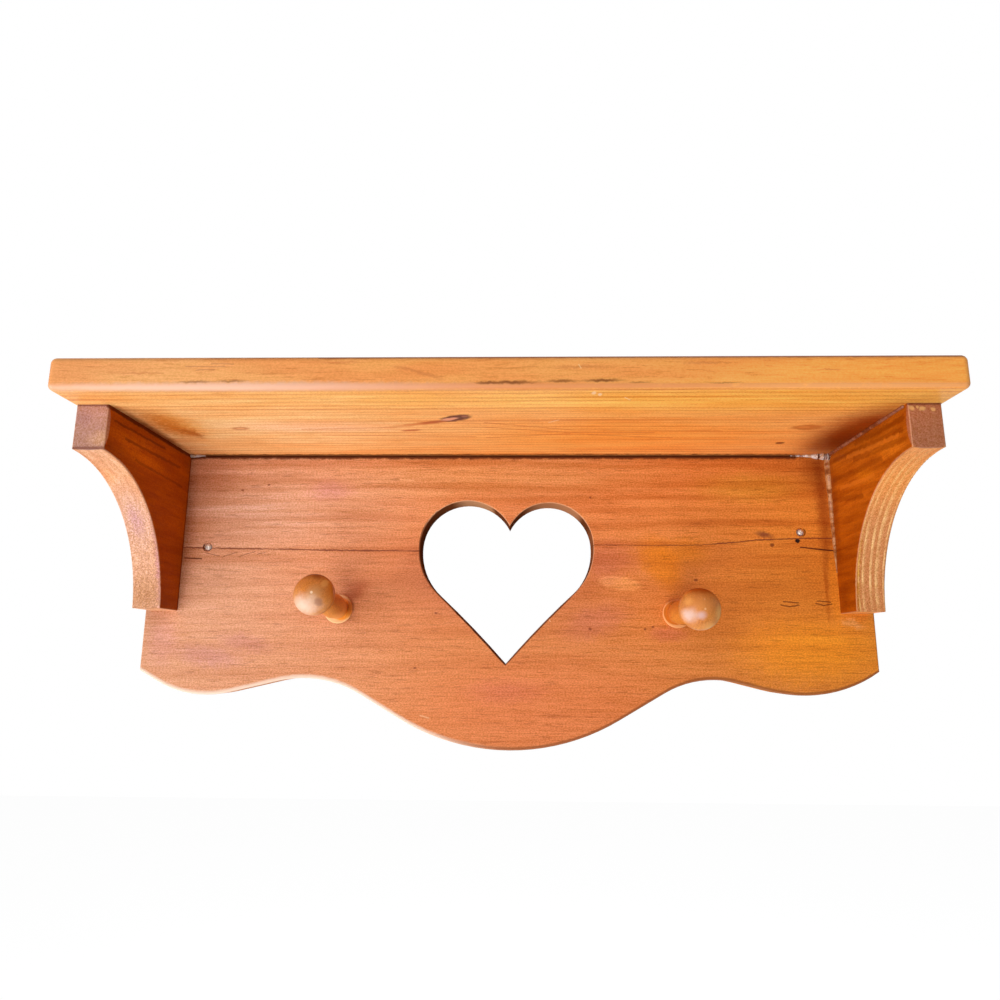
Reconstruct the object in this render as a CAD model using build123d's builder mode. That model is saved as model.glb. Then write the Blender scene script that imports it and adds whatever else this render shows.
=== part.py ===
from build123d import *
from math import asin, atan2, cos, degrees, hypot, radians, sin, sqrt, tan
import os

# Wall shelf with a peg rail, in millimetres: a shelf on two cut-out brackets and a scalloped
# backboard with a heart opening, two turned pegs and the screws that hold it all.
# The origin is the middle of the backboard's top back edge, where the wall meets the shelf's
# underside. +X runs along the shelf, the room is on the -Y side and +Z is up.

# Shelf board
shelf_length = 503.0
shelf_depth = 158.0
shelf_thickness = 19.0
shelf_top_round = 3.5       # router round along the front and both ends
shelf_bottom_round = 3.0
shelf_corner_round = 4.0    # upright corners at the front

# Backboard
board_overhang = 0.5        # past each end of the shelf
board_thickness = 19.0
board_top_ease = 2.5        # rounded arris under the shelf, the dark joint line
board_front_ease = 1.2      # sanded arris everywhere else on the front face

# Scallop: straight flanks joined by large rounds, sawn by hand, so its two ends differ a little
scallop_shift = 2.6         # the pattern was laid out a little right of the middle
lobe_drop = 203.6           # lowest point of the middle lobe below the shelf
lobe_radius = 148.0
flank_angle = 30.0
wave_share = 0.2546         # middle to the corner that a hollow wave rounds off, of the length
left_wave_radius, right_wave_radius = 78.3, 66.9
left_tip_gap, right_tip_gap = 89.5, 98.6          # on to the corner that the end lobe rounds off
left_tip_drop, right_tip_drop = 173.2, 176.6
left_tip_radius, right_tip_radius = 70.7, 92.4
left_tip_angle, right_tip_angle = 29.0, 45.7

# Heart opening: each lobe eases into a flatter cheek, which runs out into a slightly hollow side
left_lobe_offset, left_lobe_drop, left_lobe_radius = 27.2, 67.2, 33.4
right_lobe_offset, right_lobe_drop, right_lobe_radius = 30.4, 65.9, 30.8
heart_shoulder_angle = 6.0  # above level, where a lobe eases into its cheek
heart_cheek_radius = 43.0
heart_side_angle = 47.5     # below level, where a cheek runs out into the side
heart_tip_drop = 147.2

# Brackets: boards on edge with a quarter-round cut from the front lower corner
bracket_thickness = 19.0
bracket_inset = 3.2         # outer face in from the shelf's end
bracket_setback = 26.0      # nose behind the shelf's front edge
bracket_drop = 112.2
left_nose, left_foot, left_turn = 27.0, 26.2, 85.5       # turn of the concave front, in degrees
right_nose, right_foot, right_turn = 26.0, 24.6, 89.0
bracket_ease = 0.8

# Turned pegs
peg_head_radius = 12.7
peg_head_dome = 8.0         # tip beyond the widest part
peg_rim_round = 5.0
peg_reach = 74.0            # tip of the head from the board's face
peg_flare = 15.0            # from the neck to the widest part of the head
peg_neck_radius = 4.9
peg_body_radius = 8.2
peg_body_height = 13.0      # widest part of the body above the collar
peg_collar_radius = 10.0
peg_collar_thickness = 1.8
peg_collar_round = 0.6
peg_foot_radius = 7.0       # bottom of the cove above the collar
tenon_radius = 6.3
tenon_clearance = 0.1
tenon_room = 1.0            # empty depth behind the tenon
tenon_hole_stop = 3.5       # board left behind the hole
peg_hole_overrun = 2.0      # cut outside the face, so that a leaning hole opens fully
left_peg_in, left_peg_drop, left_peg_rise = 9.8, 110.7, 4.2      # in from the hollow below it
right_peg_in, right_peg_drop, right_peg_rise = 13.1, 112.4, -1.0

# Wall screws, through the backboard into the wall
left_wall_screw_in, left_wall_screw_drop = 17.3, 67.2       # in from the bracket's inner face
right_wall_screw_in, right_wall_screw_drop = 22.8, 55.6
wall_pocket_radius = 3.4
wall_pocket_depth = 2.4
wall_head_radius = 2.6
wall_head_height = 2.0
wall_shank_radius = 2.0
wall_thread_radius = 1.75
wall_thread_length = 22.0   # behind the board, before the point
wall_point_length = 6.0
wall_recess_width = 0.7
wall_recess_depth = 1.1

# Wood screws that join the boards
screw_radius = 2.0
screw_point_length = 6.0
screw_slot_width = 1.0
screw_slot_depth = 1.2
hole_clearance = 0.1
countersunk_radius = 4.2
countersink_angle = 90.0
bracket_screw_length = 40.0
bracket_screw_high = 30.0   # below the bracket's top
bracket_screw_low = 22.2    # above its lower end
pan_radius = 3.9
pan_height = 2.6
pan_round = 0.8
shelf_screw_length = 38.0   # under the head
shelf_screw_rear = 33.0     # from the bracket's back edge
shelf_screw_front = 34.0    # from its nose
board_screw_shares = (-0.3, 0.0, 0.3)   # along the shelf, as shares of its length

# Wooden plugs over the shelf screws
plug_radius = 4.75
plug_thickness = 4.0
plug_clearance = 0.05

# Worked out from the sizes above
board_length = shelf_length + 2 * board_overhang
bracket_middle = shelf_length / 2 - bracket_inset - bracket_thickness / 2
bracket_inner = bracket_middle - bracket_thickness / 2
bracket_front = shelf_depth - bracket_setback
front_face = Plane.XZ.offset(board_thickness)          # looks at the room, local y is up
wall_face = Plane((0, 0, 0), x_dir=(1, 0, 0), z_dir=(0, 1, 0))   # looks at the wall, local y is down
shelf_top = Plane.XY.offset(shelf_thickness)
shelf_bore_depth = pan_height + plug_thickness
countersunk_height = (countersunk_radius - screw_radius) / tan(radians(countersink_angle / 2))
wall_screw_points = [(left_wall_screw_in - bracket_inner, left_wall_screw_drop),
                     (bracket_inner - right_wall_screw_in, right_wall_screw_drop)]
bracket_screw_drops = [bracket_screw_high, bracket_drop - bracket_screw_low]
bracket_screw_points = [(side * bracket_middle, drop)
                        for side in (-1, 1) for drop in bracket_screw_drops]
bracket_pilot_depth = bracket_screw_length - board_thickness + hole_clearance
bracket_top_points = [-board_thickness - shelf_screw_rear, shelf_screw_front - bracket_front]
board_top_points = [(share * shelf_length, -board_thickness / 2) for share in board_screw_shares]
shelf_screw_points = board_top_points + [(side * bracket_middle, y)
                                         for side in (-1, 1) for y in bracket_top_points]
shelf_pilot_depth = shelf_screw_length - (shelf_thickness - shelf_bore_depth) + hole_clearance
tenon_hole_depth = board_thickness - tenon_hole_stop
tenon_length = tenon_hole_depth - tenon_room
wave_x = wave_share * board_length
peg_places = [(scallop_shift - wave_x + left_peg_in, left_peg_drop, left_peg_rise),
              (scallop_shift + wave_x - right_peg_in, right_peg_drop, right_peg_rise)]


def peg_plane(x, drop, rise):
    """Plane on the board's face whose normal is the peg's own axis."""
    outwards = Vector(0, -cos(radians(rise)), sin(radians(rise)))
    return Plane((x, -board_thickness, -drop), x_dir=(1, 0, 0), z_dir=outwards)


# Shelf board: rounded along the front and the ends, square where it meets the wall
with BuildPart() as shelf_board:
    with BuildSketch():
        with Locations((0, -shelf_depth / 2)):
            Rectangle(shelf_length, shelf_depth)
    extrude(amount=shelf_thickness)
    fillet(shelf_board.edges().filter_by(Axis.Z).group_by(Axis.Y)[0], radius=shelf_corner_round)
    top_edges = shelf_board.edges().group_by(Axis.Z)[-1].sort_by(Axis.Y)[:-1]
    fillet(top_edges, radius=shelf_top_round)
    bottom_edges = shelf_board.edges().group_by(Axis.Z)[0].sort_by(Axis.Y)[:-1]
    fillet(bottom_edges, radius=shelf_bottom_round)
    with Locations(shelf_top):
        with Locations(*shelf_screw_points):
            CounterBoreHole(radius=screw_radius + hole_clearance,
                            counter_bore_radius=plug_radius + plug_clearance,
                            counter_bore_depth=shelf_bore_depth)
shelf_board.part.label = "shelf_board"


# Backboard: a plank sawn along the scallop, pierced by the heart and drilled for pegs and screws
flank = radians(flank_angle)
lobe_corner_drop = lobe_drop + lobe_radius * (1 / cos(flank) - 1)
wave_drop = lobe_corner_drop - wave_x * tan(flank)
left_lobe_middle = Vector(-left_lobe_offset, -left_lobe_drop)
right_lobe_middle = Vector(right_lobe_offset, -right_lobe_drop)


def scallop_end(side, gap, drop, radius, angle):
    """Corner that an end lobe rounds off, and a point past the board's end on its run-out."""
    tip_x = wave_x + gap
    run_out_x = tip_x + radius * cos(radians(angle))
    run_out_drop = drop - radius * sin(radians(angle))
    return [(side * tip_x, -drop), (side * run_out_x, -run_out_drop)]


def lobe_crossing():
    """The heart's notch, where the circles of the two lobes cross."""
    across = right_lobe_middle - left_lobe_middle
    share = (across.length ** 2 + left_lobe_radius ** 2 - right_lobe_radius ** 2) / (2 * across.length)
    level = across.normalized()
    rise = Vector(-level.Y, level.X) * sqrt(left_lobe_radius ** 2 - share ** 2)
    return left_lobe_middle + level * share + rise


def draw_heart_half(side, middle, radius, notch):
    """Lobe, cheek and side of the heart, from the notch down to the tip, in the open line."""
    notch_angle = degrees(atan2(notch.Y - middle.Y, notch.X - middle.X))
    shoulder = 90 - side * (90 - heart_shoulder_angle)
    lean = radians(shoulder)
    cheek_middle = middle - Vector(cos(lean), sin(lean)) * (heart_cheek_radius - radius)
    CenterArc(middle, radius, notch_angle, shoulder - notch_angle)
    cheek = CenterArc(cheek_middle, heart_cheek_radius, shoulder,
                      -side * (heart_shoulder_angle + heart_side_angle))
    TangentArc(cheek @ 1, (0, -heart_tip_drop), tangent=cheek % 1)


left_end = scallop_end(-1, left_tip_gap, left_tip_drop, left_tip_radius, left_tip_angle)
right_end = scallop_end(1, right_tip_gap, right_tip_drop, right_tip_radius, right_tip_angle)
saw_corners = [left_end[1], left_end[0], (-wave_x, -wave_drop), (0, -lobe_corner_drop),
               (wave_x, -wave_drop), right_end[0], right_end[1]]
saw_rounds = [left_tip_radius, left_wave_radius, lobe_radius, right_wave_radius, right_tip_radius]

with BuildPart() as back_board:
    with BuildSketch(Plane.XZ):
        with BuildLine():
            sawn = FilletPolyline([(x + scallop_shift, z) for x, z in saw_corners], radius=saw_rounds)
            Polyline(sawn @ 1, ((sawn @ 1).X, 0), ((sawn @ 0).X, 0), sawn @ 0)
        make_face()
        with Locations((0, -lobe_corner_drop / 2)):
            Rectangle(board_length, lobe_corner_drop, mode=Mode.INTERSECT)
    extrude(amount=board_thickness)
    with BuildSketch(Plane.XZ):
        with BuildLine():
            notch = lobe_crossing()
            draw_heart_half(-1, left_lobe_middle, left_lobe_radius, notch)
            draw_heart_half(1, right_lobe_middle, right_lobe_radius, notch)
        make_face()
    extrude(amount=board_thickness, mode=Mode.SUBTRACT)
    front_edges = back_board.faces().sort_by(Axis.Y)[0].edges()
    fillet(front_edges.sort_by(Axis.Z)[-1], radius=board_top_ease)
    front_edges = back_board.faces().filter_by(Axis.Y).sort_by(Axis.Y)[0].edges()
    fillet(front_edges.sort_by(Axis.Z)[:-1], radius=board_front_ease)
    for x, drop, rise in peg_places:
        with BuildSketch(peg_plane(x, drop, rise).offset(peg_hole_overrun)):
            Circle(tenon_radius + tenon_clearance)
        extrude(amount=-(peg_hole_overrun + tenon_hole_depth), mode=Mode.SUBTRACT)
    with Locations(front_face):
        with Locations(*[(x, -drop) for x, drop in wall_screw_points]):
            CounterBoreHole(radius=wall_shank_radius + hole_clearance,
                            counter_bore_radius=wall_pocket_radius,
                            counter_bore_depth=wall_pocket_depth)
    with Locations(wall_face):
        with Locations(*bracket_screw_points):
            CounterSinkHole(radius=screw_radius + hole_clearance,
                            counter_sink_radius=countersunk_radius,
                            counter_sink_angle=countersink_angle)
    with Locations(*board_top_points):
        Hole(radius=screw_radius + hole_clearance, depth=shelf_pilot_depth)
back_board.part.label = "back_board"


def make_bracket(side, nose, foot, turn):
    """A board on edge, butted to the backboard and the shelf, with a concave front."""
    middle = side * bracket_middle
    toe = (-board_thickness - foot, -bracket_drop)
    chin = (-bracket_front, -nose)
    arch_chord = hypot(chin[0] - toe[0], chin[1] - toe[1])
    arch_radius = arch_chord / 2 / sin(radians(turn / 2))
    with BuildPart() as bracket:
        with BuildSketch(Plane.YZ.offset(middle - bracket_thickness / 2)):
            with BuildLine():
                RadiusArc(chin, toe, radius=arch_radius)
                Polyline(toe, (-board_thickness, -bracket_drop), (-board_thickness, 0),
                         (-bracket_front, 0), chin)
            make_face()
        extrude(amount=bracket_thickness)
        side_edges = bracket.faces().filter_by(Axis.X).edges()
        glued_edges = side_edges.group_by(Axis.Z)[-1] + side_edges.group_by(Axis.Y)[-1]
        fillet(side_edges - glued_edges, radius=bracket_ease)
        with Locations(*[(middle, y) for y in bracket_top_points]):
            Hole(radius=screw_radius + hole_clearance, depth=shelf_pilot_depth)
        with Locations(wall_face.offset(-board_thickness)):
            with Locations(*[(middle, drop) for drop in bracket_screw_drops]):
                Hole(radius=screw_radius + hole_clearance, depth=bracket_pilot_depth)
    return bracket


def make_peg(x, drop, rise):
    """A turned peg: tenon, thin collar, long waisted body and a mushroom head."""
    seat = peg_collar_radius * tan(radians(abs(rise)))
    collar_top = seat + peg_collar_thickness
    rim_height = peg_reach - peg_head_dome
    rim_middle = peg_head_radius - peg_rim_round
    cap_radius = ((rim_middle ** 2 + peg_head_dome ** 2 - peg_rim_round ** 2)
                  / (2 * (peg_head_dome - peg_rim_round)))
    cap_edge = degrees(atan2(cap_radius - peg_head_dome, rim_middle))
    half_plane = peg_plane(x, drop, rise).rotated((90, 0, 0))
    with BuildPart() as peg:
        with BuildSketch(half_plane):
            with BuildLine():
                collar = FilletPolyline((0, -tenon_length), (tenon_radius, -tenon_length),
                                        (tenon_radius, seat), (peg_collar_radius, seat),
                                        (peg_collar_radius, collar_top), (peg_foot_radius, collar_top),
                                        radius=[0, 0, peg_collar_round, peg_collar_round])
                body = Spline(collar @ 1, (peg_body_radius, collar_top + peg_body_height),
                              (peg_neck_radius, rim_height - peg_flare),
                              tangents=[(0, 1), (0, 1)])
                Spline(body @ 1, (peg_head_radius, rim_height), tangents=[(0, 1), (0, 1)])
                CenterArc((rim_middle, rim_height), peg_rim_round, 0, cap_edge)
                cap = CenterArc((0, peg_reach - cap_radius), cap_radius, cap_edge, 90 - cap_edge)
                Line(cap @ 1, collar @ 0)
            make_face()
        revolve(axis=Axis(half_plane.origin, half_plane.y_dir))
    return peg


# Brackets
left_bracket = make_bracket(-1, left_nose, left_foot, left_turn)
left_bracket.part.label = "left_bracket"
right_bracket = make_bracket(1, right_nose, right_foot, right_turn)
right_bracket.part.label = "right_bracket"

# Pegs
left_peg = make_peg(*peg_places[0])
left_peg.part.label = "left_peg"
right_peg = make_peg(*peg_places[1])
right_peg.part.label = "right_peg"


# Wall screws: a domed head in its pocket, a smooth shank in the board, the thread behind it
wall_grip = board_thickness - wall_pocket_depth
wall_pocket = front_face.offset(-wall_pocket_depth)
wall_dome_radius = (wall_head_radius ** 2 + wall_head_height ** 2) / (2 * wall_head_height)
wall_dome_angle = degrees(asin(wall_head_radius / wall_dome_radius))

with BuildPart() as wall_screw:
    with BuildSketch(Plane.XZ):
        with BuildLine():
            dome = CenterArc((0, wall_head_height - wall_dome_radius), wall_dome_radius,
                             90 - wall_dome_angle, wall_dome_angle)
            Polyline(dome @ 0, (wall_shank_radius, 0), (wall_shank_radius, -wall_grip),
                     (wall_thread_radius, -wall_grip),
                     (wall_thread_radius, -wall_grip - wall_thread_length),
                     (0, -wall_grip - wall_thread_length - wall_point_length), (0, wall_head_height))
        make_face()
    revolve(axis=Axis.Z)
    with BuildSketch(Plane.XY.offset(wall_head_height)):
        with PolarLocations(0, 2, angular_range=180):
            Rectangle(wall_head_radius, wall_recess_width)
    extrude(amount=-wall_recess_depth, mode=Mode.SUBTRACT)

with BuildPart() as wall_screws:
    with Locations(wall_pocket):
        with Locations(*[(x, -drop) for x, drop in wall_screw_points]):
            add(wall_screw.part)
wall_screws.part.label = "wall_screws"


# Bracket screws: countersunk, flush with the board's back, slotted
with BuildPart() as bracket_screw:
    with BuildSketch(Plane.XZ):
        with BuildLine():
            Polyline((0, 0), (countersunk_radius, 0), (screw_radius, -countersunk_height),
                     (screw_radius, screw_point_length - bracket_screw_length),
                     (0, -bracket_screw_length), close=True)
        make_face()
    revolve(axis=Axis.Z)
    with BuildSketch():
        Rectangle(2 * countersunk_radius, screw_slot_width)
    extrude(amount=-screw_slot_depth, mode=Mode.SUBTRACT)

with BuildPart() as bracket_screws:
    with Locations(wall_face):
        with Locations(*bracket_screw_points):
            add(bracket_screw.part)
bracket_screws.part.label = "bracket_screws"


# Shelf screws: pan heads at the bottom of the counterbores, under the plugs
with BuildPart() as shelf_screw:
    with BuildSketch(Plane.XZ):
        with BuildLine():
            head = FilletPolyline((0, pan_height), (pan_radius, pan_height), (pan_radius, 0),
                                  (screw_radius, 0), radius=[pan_round, 0])
            Polyline(head @ 1, (screw_radius, screw_point_length - shelf_screw_length),
                     (0, -shelf_screw_length), head @ 0)
        make_face()
    revolve(axis=Axis.Z)
    with BuildSketch(Plane.XY.offset(pan_height)):
        Rectangle(2 * pan_radius, screw_slot_width)
    extrude(amount=-screw_slot_depth, mode=Mode.SUBTRACT)

with BuildPart() as shelf_screws:
    with Locations(shelf_top.offset(-shelf_bore_depth)):
        with Locations(*shelf_screw_points):
            add(shelf_screw.part)
shelf_screws.part.label = "shelf_screws"


# Shelf plugs: short dowels that stand on the screw heads and end flush with the shelf
with BuildPart() as shelf_plugs:
    with BuildSketch(shelf_top):
        with Locations(*shelf_screw_points):
            Circle(plug_radius)
    extrude(amount=-plug_thickness)
shelf_plugs.part.label = "shelf_plugs"


os.makedirs("parts", exist_ok=True)
for piece in (shelf_board, back_board, left_bracket, right_bracket, left_peg, right_peg,
              wall_screws, bracket_screws, shelf_screws, shelf_plugs):
    export_step(piece.part, f"parts/{piece.part.label}.step")
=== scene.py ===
import math

import bmesh
import bpy
from mathutils import Euler, Matrix, Vector


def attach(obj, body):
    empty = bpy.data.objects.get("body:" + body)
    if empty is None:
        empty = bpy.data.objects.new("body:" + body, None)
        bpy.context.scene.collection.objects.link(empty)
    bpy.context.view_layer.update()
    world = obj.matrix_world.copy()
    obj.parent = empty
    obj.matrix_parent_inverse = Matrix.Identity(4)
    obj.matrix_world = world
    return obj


# Wall shelf with a peg rail, in stained and varnished pine. Metres, in the frame of the solids:
# x runs along the shelf from its middle, the wall is at y = 0, the room at -y, and z = 0 is the
# shelf's underside. Places and sizes in the dictionaries are in millimetres.
mm = 0.001
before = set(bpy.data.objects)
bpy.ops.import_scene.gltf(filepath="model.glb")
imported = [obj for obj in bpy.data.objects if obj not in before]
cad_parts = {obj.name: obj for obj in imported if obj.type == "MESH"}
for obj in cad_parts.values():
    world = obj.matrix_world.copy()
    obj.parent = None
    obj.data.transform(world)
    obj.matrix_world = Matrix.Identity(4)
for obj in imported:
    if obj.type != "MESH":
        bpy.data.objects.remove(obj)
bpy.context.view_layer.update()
print("frame loaded")


# ---- small helpers for node trees

def tone(red, green, blue):   # a colour as it is seen, 0 to 255
    linear = [(c / 255 / 12.92) if c <= 10 else ((c / 255 + 0.055) / 1.055) ** 2.4
              for c in (red, green, blue)]
    return (*linear, 1.0)


def put(tree, kind, sockets=None, **settings):
    node = tree.nodes.new(kind)
    for name, value in settings.items():
        setattr(node, name, value)
    for key, value in (sockets or {}).items():
        if isinstance(value, bpy.types.NodeSocket):
            tree.links.new(value, node.inputs[key])
        else:
            node.inputs[key].default_value = value
    return node


def maths(tree, operation, first, second=0.0, third=0.0, clamp=False):
    return put(tree, "ShaderNodeMath", {0: first, 1: second, 2: third}, operation=operation,
               use_clamp=clamp).outputs[0]


def times(tree, first, second):
    return maths(tree, "MULTIPLY", first, second)


def vectorMaths(tree, operation, first, second=(0.0, 0.0, 0.0), output=0):
    return put(tree, "ShaderNodeVectorMath", {0: first, 1: second}, operation=operation).outputs[output]


def scaled(tree, vector, amount):
    return put(tree, "ShaderNodeVectorMath", {0: vector, "Scale": amount}, operation="SCALE").outputs[0]


def ramp(tree, value, low, high, start=0.0, end=1.0):   # smooth step between two values
    return put(tree, "ShaderNodeMapRange", {0: value, 1: low, 2: high, 3: start, 4: end},
               interpolation_type="SMOOTHSTEP").outputs[0]


def mixTones(tree, amount, first, second, mode="MIX"):
    return put(tree, "ShaderNodeMix", {0: amount, 6: first, 7: second}, data_type="RGBA",
               blend_type=mode, clamp_factor=True).outputs[2]


def noise(tree, vector, scale, detail=2.0, roughness=0.5, stretch=None, output=0):
    if stretch:
        vector = vectorMaths(tree, "MULTIPLY", vector, stretch)
    return put(tree, "ShaderNodeTexNoise", {
        "Vector": vector, "Scale": scale, "Detail": detail, "Roughness": roughness}).outputs[output]


def bumps(tree, height, strength, depth):
    return put(tree, "ShaderNodeBump", {
        "Height": height, "Strength": strength, "Distance": depth * mm}).outputs[0]


def newMaterial(name):   # with an empty node tree
    material = bpy.data.materials.new(name)
    material.use_nodes = True
    material.node_tree.nodes.clear()
    return material, material.node_tree


def objectPlace(tree):
    return put(tree, "ShaderNodeTexCoord").outputs["Object"]


def newGroup(name, inputs, outputs):
    group = bpy.data.node_groups.new(name, "ShaderNodeTree")
    for label, kind, value in inputs:
        socket = group.interface.new_socket(label, in_out="INPUT", socket_type="NodeSocket" + kind)
        socket.default_value = value
    for label, kind in outputs:
        group.interface.new_socket(label, in_out="OUTPUT", socket_type="NodeSocket" + kind)
    return group, group.nodes.new("NodeGroupInput").outputs, group.nodes.new("NodeGroupOutput").inputs


def useGroup(tree, group, sockets):
    return put(tree, "ShaderNodeGroup", sockets, node_tree=group).outputs


def millimetres(values):
    return tuple(value * mm for value in values)


def degrees(angles):
    return tuple(math.radians(angle) for angle in angles)


# ---- effects shared by the materials

middle = (0.5, 0.5, 0.5)   # of a noise
# noise cells to the metre, along the grain and twice across it
grain = dict(drift=(3, 10, 10), ripple=(32, 45, 45), fade=(6, 110, 110), fibre=(50, 1150, 1150),
             hair=(85, 950, 950), speckle=(800, 1250, 1250), fray=260)
# where in a year's growth the dark wood begins, is full and begins to end, and how unlike the years are
year = dict(begin=0.4, full=0.85, end=0.88, waver=0.7, unlike=1.5)


def makePineFigure():
    # growth rings about a pith that runs along x, with wide bands, fibres, dark hairs and a speckle
    group, given, result = newGroup(
        "Pine figure",
        [("Vector", "Vector", (0, 0, 0)), ("Ring Width", "Float", 0.003), ("Wander", "Float", 0.01),
         ("Wave", "Float", 0.001), ("Band Width", "Float", 0.009), ("Band Length", "Float", 0.08)],
        [("Ring", "Float"), ("Band", "Float"), ("Fibre", "Float"), ("Hair", "Float"),
         ("Speckle", "Float"), ("Fray", "Vector")])
    place = given["Vector"]
    bent = place
    for label, scale, detail in (("Wander", grain["drift"], 2.0), ("Wave", grain["ripple"], 1.0)):
        sway = noise(group, place, 1.0, detail, 0.5, scale, "Color")
        sway = vectorMaths(group, "SUBTRACT", sway, middle)
        bent = vectorMaths(group, "ADD", bent, scaled(group, sway, given[label]))
    across = vectorMaths(group, "MULTIPLY", bent, (0.0, 1.0, 1.0))
    count = maths(group, "DIVIDE", vectorMaths(group, "LENGTH", across, output=1), given["Ring Width"])
    # wide and narrow years
    years = put(group, "ShaderNodeCombineXYZ", {0: times(group, count, year["waver"])}).outputs[0]
    count = maths(group, "ADD", count, times(group, noise(group, years, 1.0, 1.0), year["unlike"]))
    part = maths(group, "FRACT", count)
    ring = times(group, ramp(group, part, year["begin"], year["full"]),
                 ramp(group, part, year["end"], 1.0, 1.0, 0.0))
    fade = ramp(group, noise(group, bent, 1.0, 1.0, 0.5, grain["fade"]), 0.3, 0.7, 0.3, 1.0)
    wide = maths(group, "DIVIDE", 1.0, given["Band Width"])
    long = maths(group, "DIVIDE", 1.0, given["Band Length"])
    bandScale = put(group, "ShaderNodeCombineXYZ", {0: long, 1: wide, 2: wide}).outputs[0]
    parts = {
        "Ring": times(group, ring, fade),
        "Band": noise(group, vectorMaths(group, "MULTIPLY", bent, bandScale), 1.0, 2.0, 0.5),
        "Fibre": noise(group, bent, 1.0, 2.0, 0.65, grain["fibre"]),
        "Hair": ramp(group, noise(group, bent, 1.0, 1.0, 0.5, grain["hair"]), 0.58, 0.72),
        "Speckle": noise(group, place, 1.0, 1.0, 0.6, grain["speckle"]),
        "Fray": vectorMaths(group, "SUBTRACT",
                            noise(group, place, grain["fray"], 2.0, 0.6, output="Color"), middle),
    }
    for label, socket in parts.items():
        group.links.new(socket, result[label])
    return group


def awayFrom(group, given, start):   # the way from a mark's start, frayed so that its outline is ragged
    near = vectorMaths(group, "ADD", given["Vector"], scaled(group, given["Fray"], given["Ragged"]))
    return vectorMaths(group, "SUBTRACT", near, given[start])


def makeMark():
    # a soft or ragged oval, for stains, knots, dents and pale patches
    group, given, result = newGroup(
        "Mark",
        [("Vector", "Vector", (0, 0, 0)), ("Fray", "Vector", (0, 0, 0)), ("At", "Vector", (0, 0, 0)),
         ("Size", "Vector", (1, 1, 1)), ("Turn", "Vector", (0, 0, 0)), ("Softness", "Float", 0.5),
         ("Ragged", "Float", 0.0), ("Strength", "Float", 1.0)],
        [("Mask", "Float")])
    near = awayFrom(group, given, "At")
    near = put(group, "ShaderNodeVectorRotate", {"Vector": near, "Rotation": given["Turn"]},
               rotation_type="EULER_XYZ", invert=True).outputs[0]
    away = vectorMaths(group, "LENGTH", vectorMaths(group, "DIVIDE", near, given["Size"]), output=1)
    mask = ramp(group, away, maths(group, "SUBTRACT", 1.0, given["Softness"]), 1.0, 1.0, 0.0)
    group.links.new(times(group, mask, given["Strength"]), result["Mask"])
    return group


def makeScratch():
    # a thin line between two points, for scratches, short cracks and dented lines
    group, given, result = newGroup(
        "Scratch",
        [("Vector", "Vector", (0, 0, 0)), ("Fray", "Vector", (0, 0, 0)), ("From", "Vector", (0, 0, 0)),
         ("To", "Vector", (1, 0, 0)), ("Width", "Float", 0.001), ("Ragged", "Float", 0.0005),
         ("Strength", "Float", 1.0)],
        [("Mask", "Float")])
    near = awayFrom(group, given, "From")
    line = vectorMaths(group, "SUBTRACT", given["To"], given["From"])
    along = maths(group, "DIVIDE", vectorMaths(group, "DOT_PRODUCT", near, line, 1),
                  vectorMaths(group, "DOT_PRODUCT", line, line, 1), clamp=True)
    aside = vectorMaths(group, "SUBTRACT", near, scaled(group, line, along))
    away = maths(group, "DIVIDE", vectorMaths(group, "LENGTH", aside, output=1), given["Width"])
    group.links.new(times(group, ramp(group, away, 0.2, 0.5, 1.0, 0.0), given["Strength"]), result["Mask"])
    return group


def makeArris():
    # how a face lies to an axis. Arris: the rounded edges between. Along: faces that look along the axis.
    # Ease: all that doesn't look straight along it
    group, given, result = newGroup(
        "Rubbed arris",
        [("Normal", "Vector", (0, 0, 1)), ("Axis", "Vector", (0, 1, 0))],
        [("Arris", "Float"), ("Along", "Float"), ("Ease", "Float")])
    along = maths(group, "ABSOLUTE", vectorMaths(group, "DOT_PRODUCT", given["Normal"], given["Axis"], 1))
    arris = times(group, ramp(group, along, 0.06, 0.35), ramp(group, along, 0.75, 0.985, 1.0, 0.0))
    group.links.new(arris, result["Arris"])
    group.links.new(ramp(group, along, 0.4, 0.85), result["Along"])
    group.links.new(ramp(group, along, 0.9, 0.999, 1.0, 0.0), result["Ease"])
    return group


pineFigure = makePineFigure()
markShape = makeMark()
scratchShape = makeScratch()
arrisShape = makeArris()
print("shared effects built")


# ---- pine

grainTint = (0.62, 1.0, 1.75)   # how strongly the fine grain shows in red, green and blue


def lineThrough(tree, value, points, low, high):
    # a curve through (x, y) points with y between low and high, read at the given value
    left, right = points[0][0], points[-1][0]
    place = put(tree, "ShaderNodeMapRange", {0: value, 1: left * mm, 2: right * mm}).outputs[0]
    node = put(tree, "ShaderNodeFloatCurve", {1: place})
    curve = node.mapping.curves[0]
    spots = [((x - left) / (right - left), (y - low) / (high - low)) for x, y in points]
    curve.points[0].location, curve.points[1].location = spots[0], spots[-1]
    for across, up in spots[1:-1]:
        curve.points.new(across, up)
    for point in curve.points:
        point.handle_type = "VECTOR"
    node.mapping.update()
    return put(tree, "ShaderNodeMapRange", {0: node.outputs[0], 3: low * mm, 4: high * mm}).outputs[0]


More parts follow.
